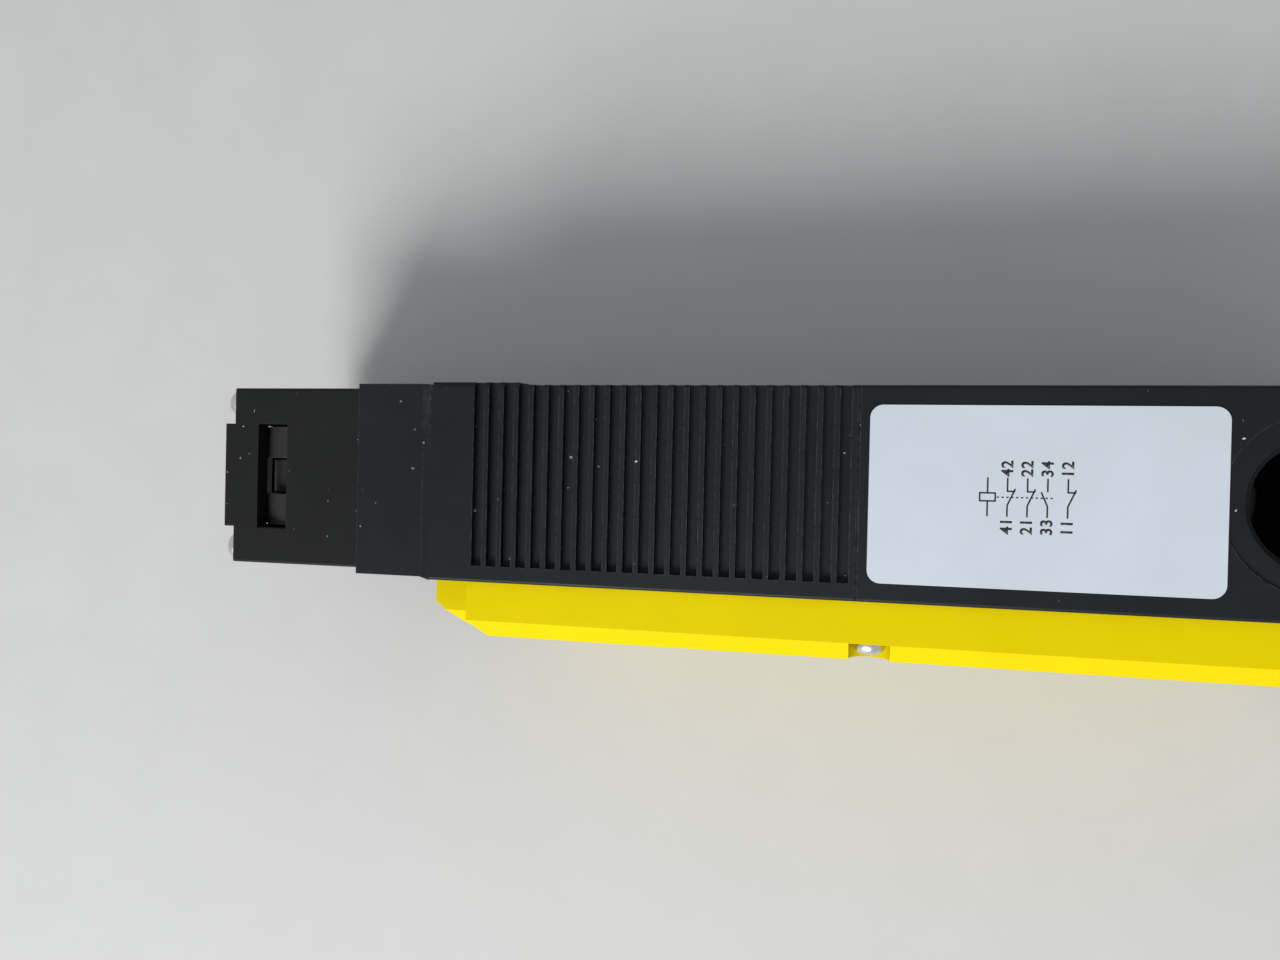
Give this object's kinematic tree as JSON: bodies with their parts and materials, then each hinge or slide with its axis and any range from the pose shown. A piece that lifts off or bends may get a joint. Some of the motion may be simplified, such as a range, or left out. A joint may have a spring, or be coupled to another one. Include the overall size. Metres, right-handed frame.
{
  "type": "tongue interlock switch",
  "caption": "Long safety switch for a machine guard: cube head with two tongue slots, ribbed black casing with solenoid lock, screwed yellow cover and threaded cable entries.",
  "frame": {"origin": "centre of the four mounting holes, on the plane of the mounting pads", "axes": "+X from the actuator head to the cable end, +Y out of the mounting face, +Z out of the broad side that carries the rating plate"},
  "size_m": [0.2047, 0.0436, 0.0521],
  "materials": {
    "casing_black": "fine satin moulding texture",
    "head_black": "fine satin",
    "cam_black": "smooth moulded",
    "cover_yellow": "satin moulded",
    "rubber_black": "matt",
    "screw_steel": "bright stainless",
    "pin_steel": "ground",
    "spring_steel": "drawn wire",
    "zinc_steel": "zinc plated",
    "iron_core": "turned iron",
    "bush_brass": "turned",
    "contact_brass": "stamped",
    "contact_plastic": "moulded",
    "carrier_plastic": "moulded",
    "coil_tape": "wound tape",
    "board_green": "solder mask",
    "component_black": "moulded",
    "plate_silver": "satin film"
  },
  "bodies": {
    "root": {"housing": "casing_black", "lid": "cover_yellow", "lid_seal": "rubber_black", "lid_screws": "screw_steel", "rating_plate": "plate_silver", "head_housing": "head_black", "head_screws": "screw_steel", "head_base_plate": "zinc_steel", "cam_shaft": "pin_steel", "plunger_bush": "bush_brass", "plunger_seal": "rubber_black", "plunger_spring": "spring_steel", "armature_spring": "spring_steel", "contact_base": "contact_plastic", "fixed_contacts": "contact_brass", "lock_bracket": "zinc_steel", "solenoid_frame": "zinc_steel", "coil_bobbin": "carrier_plastic", "coil_winding": "coil_tape", "fixed_core": "iron_core", "terminal_blocks": "contact_plastic", "terminal_clamps": "contact_brass", "terminal_screws": "zinc_steel", "rectifier_board": "board_green", "board_components": "component_black", "release_seal": "rubber_black"},
    "cam": {"cam_wheel": "cam_black"},
    "plunger": {"plunger": "pin_steel", "waist_pin": "pin_steel", "lock_collar": "pin_steel", "contact_carrier": "carrier_plastic", "contact_bridges": "contact_brass"},
    "armature": {"armature": "iron_core", "link_plate": "zinc_steel"},
    "lock_bolt": {"lock_bolt": "pin_steel", "cross_pin": "pin_steel"},
    "release": {"release_spindle": "pin_steel", "release_clip": "spring_steel"}
  },
  "joints": [
    {"name": "cam_turn", "type": "hinge", "parent": "root", "child": "cam", "pos_m": [-0.1095, -0.01688, 0.0028], "axis": [0, -1, 0], "range_deg": [0, 60]},
    {"name": "plunger_slide", "type": "slide", "parent": "root", "child": "plunger", "axis": [-1, 0, 0], "range_m": [0, 0.0055], "deforming": ["plunger_spring"]},
    {"name": "armature_slide", "type": "slide", "parent": "root", "child": "armature", "axis": [1, 0, 0], "range_m": [0, 0.004], "stiffness_N_per_m": 400, "springref_m": -0.004, "deforming": ["armature_spring"]},
    {"name": "lock_bolt_slide", "type": "slide", "parent": "root", "child": "lock_bolt", "axis": [0, 0, 1], "range_m": [0, 0.004]},
    {"name": "release_turn", "type": "hinge", "parent": "root", "child": "release", "pos_m": [-0.025, -0.0436, 0.0172], "axis": [0, -1, 0], "range_deg": [0, 90]}
  ],
  "couplings": [
    {"joint": "cam_turn", "follows": "plunger_slide", "rad_per_m": 190.4},
    {"joint": "lock_bolt_slide", "follows": "armature_slide", "ratio": 1}
  ]
}
